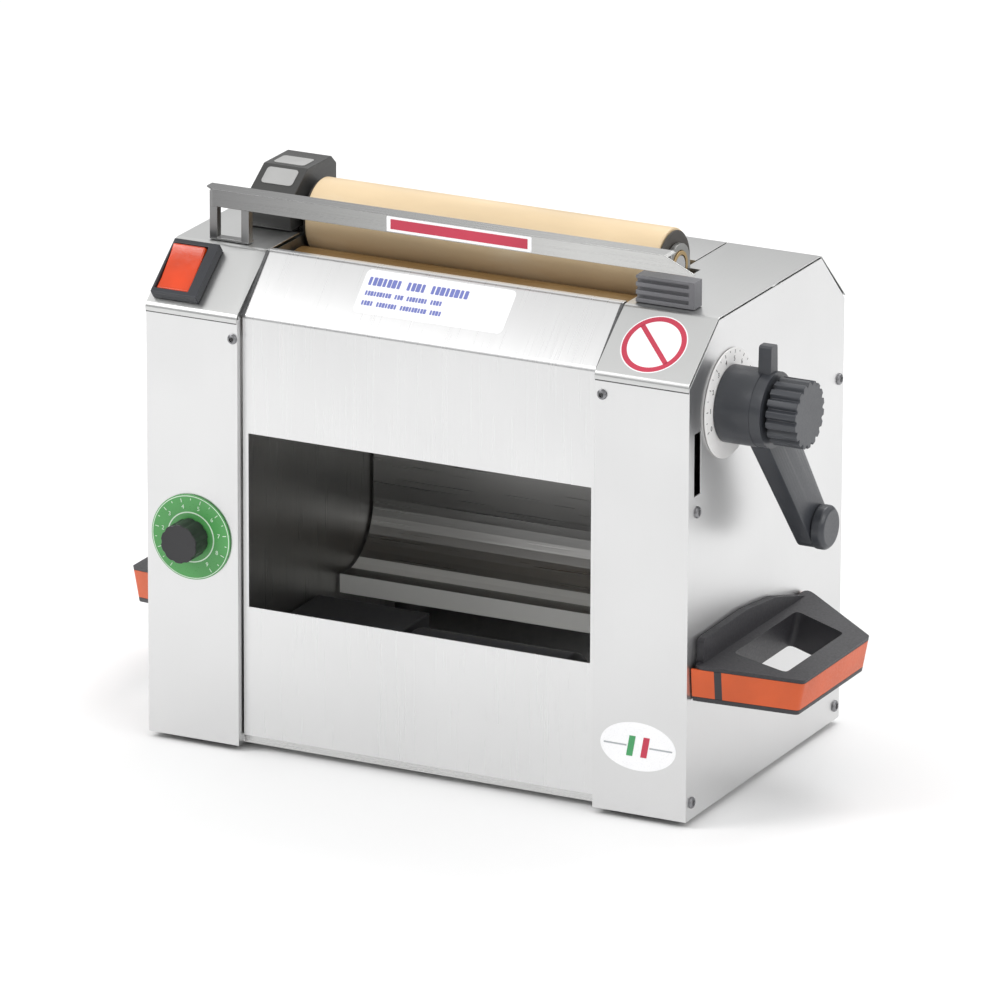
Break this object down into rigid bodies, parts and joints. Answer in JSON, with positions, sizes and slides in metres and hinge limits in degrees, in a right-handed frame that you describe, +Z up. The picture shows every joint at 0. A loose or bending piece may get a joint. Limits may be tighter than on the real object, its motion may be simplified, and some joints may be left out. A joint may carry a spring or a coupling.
{
  "type": "electric pasta sheeter",
  "caption": "Bench-top electric dough sheeter: resin rollers in a folded stainless casing, with a thickness lever, switch, speed dial and side handles.",
  "frame": {"origin": "centre of the footprint on the resting plane, under the four feet", "axes": "+X to the machine's right seen from the front, -Y out of the front face, +Z up"},
  "size_m": [0.6368, 0.333, 0.4525],
  "materials": {
    "stainless_sheet": "satin stainless sheet, fine vertical grain",
    "plate_steel": "bent steel strip, dull",
    "ground_steel": "ground round bar",
    "bronze": "sintered bronze",
    "roller_resin": "cream acetal resin, turned, satin",
    "scraper_plastic": "off-white polyethylene",
    "gear_steel": "machined and oiled",
    "cast_aluminium": "die-cast, matt",
    "black_plastic": "moulded, fine texture",
    "lever_plastic": "moulded anthracite nylon",
    "grey_plastic": "moulded, grooved",
    "orange_plastic": "moulded soft-touch band",
    "rocker_orange": "translucent lens, glossy",
    "dial_green": "printed plate with a pale ring",
    "scale_white": "printed scale plate",
    "rubber": "matt"
  },
  "bodies": {
    "casing": {"base_tray": "stainless_sheet", "front_panel": "stainless_sheet", "rear_panel": "stainless_sheet", "rear_hood": "stainless_sheet", "exit_chute": "stainless_sheet", "side_shell_left": "stainless_sheet", "side_shell_right": "stainless_sheet", "top_cap_left": "stainless_sheet", "top_cap_right": "stainless_sheet", "guard_strip": "stainless_sheet", "guard_bracket_left": "plate_steel", "guard_block_right": "grey_plastic", "gear_cover": "black_plastic", "bearing_plate_left": "plate_steel", "bearing_plate_right": "plate_steel", "foot_front_left": "rubber", "foot_front_right": "rubber", "foot_rear_left": "rubber", "foot_rear_right": "rubber", "bush_rear_left": "bronze", "bush_rear_right": "bronze", "drive_chain": "gear_steel", "motor": "cast_aluminium", "gear_case": "cast_aluminium", "scraper_front": "scraper_plastic", "scraper_rear": "scraper_plastic", "scraper_front_rod": "ground_steel", "scraper_rear_rod": "ground_steel", "scale_disc": "scale_white", "switch_collar": "black_plastic", "dial_plate": "dial_green", "speed_potentiometer": "cast_aluminium", "handle_body_left": "black_plastic", "handle_body_right": "black_plastic", "handle_band_left": "orange_plastic", "handle_band_right": "orange_plastic", "cable_gland": "black_plastic"},
    "rear_roller": {"roller_rear": "roller_resin", "shaft_rear": "ground_steel", "roller_gear_rear": "gear_steel", "sprocket_driven": "gear_steel"},
    "front_carriage": {"slide_block_left": "cast_aluminium", "slide_block_right": "cast_aluminium", "bush_front_left": "bronze", "bush_front_right": "bronze"},
    "front_roller": {"roller_front": "roller_resin", "shaft_front": "ground_steel", "roller_gear_front": "gear_steel"},
    "motor_output": {"motor_shaft": "ground_steel", "sprocket_drive": "gear_steel"},
    "lever": {"thickness_lever": "lever_plastic", "lever_grip": "lever_plastic", "lever_shaft": "ground_steel", "cam_left": "gear_steel", "cam_right": "gear_steel"},
    "lock": {"lock_knob": "lever_plastic"},
    "rocker": {"switch_rocker": "rocker_orange"},
    "dial": {"speed_knob": "black_plastic"}
  },
  "joints": [
    {"name": "rear_roller_spin", "type": "hinge", "parent": "casing", "child": "rear_roller", "pos_m": [0, -0.002, 0.413], "axis": [1, 0, 0], "continuous": true},
    {"name": "motor_output_spin", "type": "hinge", "parent": "casing", "child": "motor_output", "pos_m": [0, -0.0435, 0.055], "axis": [1, 0, 0], "continuous": true},
    {"name": "thickness_lever_swing", "type": "hinge", "parent": "casing", "child": "lever", "pos_m": [0.27, -0.07427, 0.33274], "axis": [1, 0, 0], "range_deg": [0, 120]},
    {"name": "front_carriage_slide", "type": "slide", "parent": "casing", "child": "front_carriage", "axis": [0, -0.6691, -0.7431], "range_m": [0, 0.00501]},
    {"name": "front_roller_spin", "type": "hinge", "parent": "front_carriage", "child": "front_roller", "pos_m": [0, -0.04416, 0.36618], "axis": [1, 0, 0], "continuous": true},
    {"name": "lock_knob_turn", "type": "hinge", "parent": "lever", "child": "lock", "pos_m": [0.298, -0.07427, 0.33274], "axis": [1, 0, 0], "range_deg": [0, 180]},
    {"name": "switch_rocker_tilt", "type": "hinge", "parent": "casing", "child": "rocker", "pos_m": [-0.2185, -0.12133, 0.38968], "axis": [1, 0, 0], "range_deg": [-14, 0]},
    {"name": "speed_knob_turn", "type": "hinge", "parent": "casing", "child": "dial", "pos_m": [-0.1997, -0.156, 0.176], "axis": [0, 1, 0], "range_deg": [0, 270]}
  ],
  "couplings": [
    {"joint": "front_roller_spin", "follows": "rear_roller_spin", "ratio": -1},
    {"joint": "motor_output_spin", "follows": "rear_roller_spin", "ratio": 1.6667},
    {"joint": "front_carriage_slide", "follows": "thickness_lever_swing", "m_per_rad": 0.0023873}
  ]
}
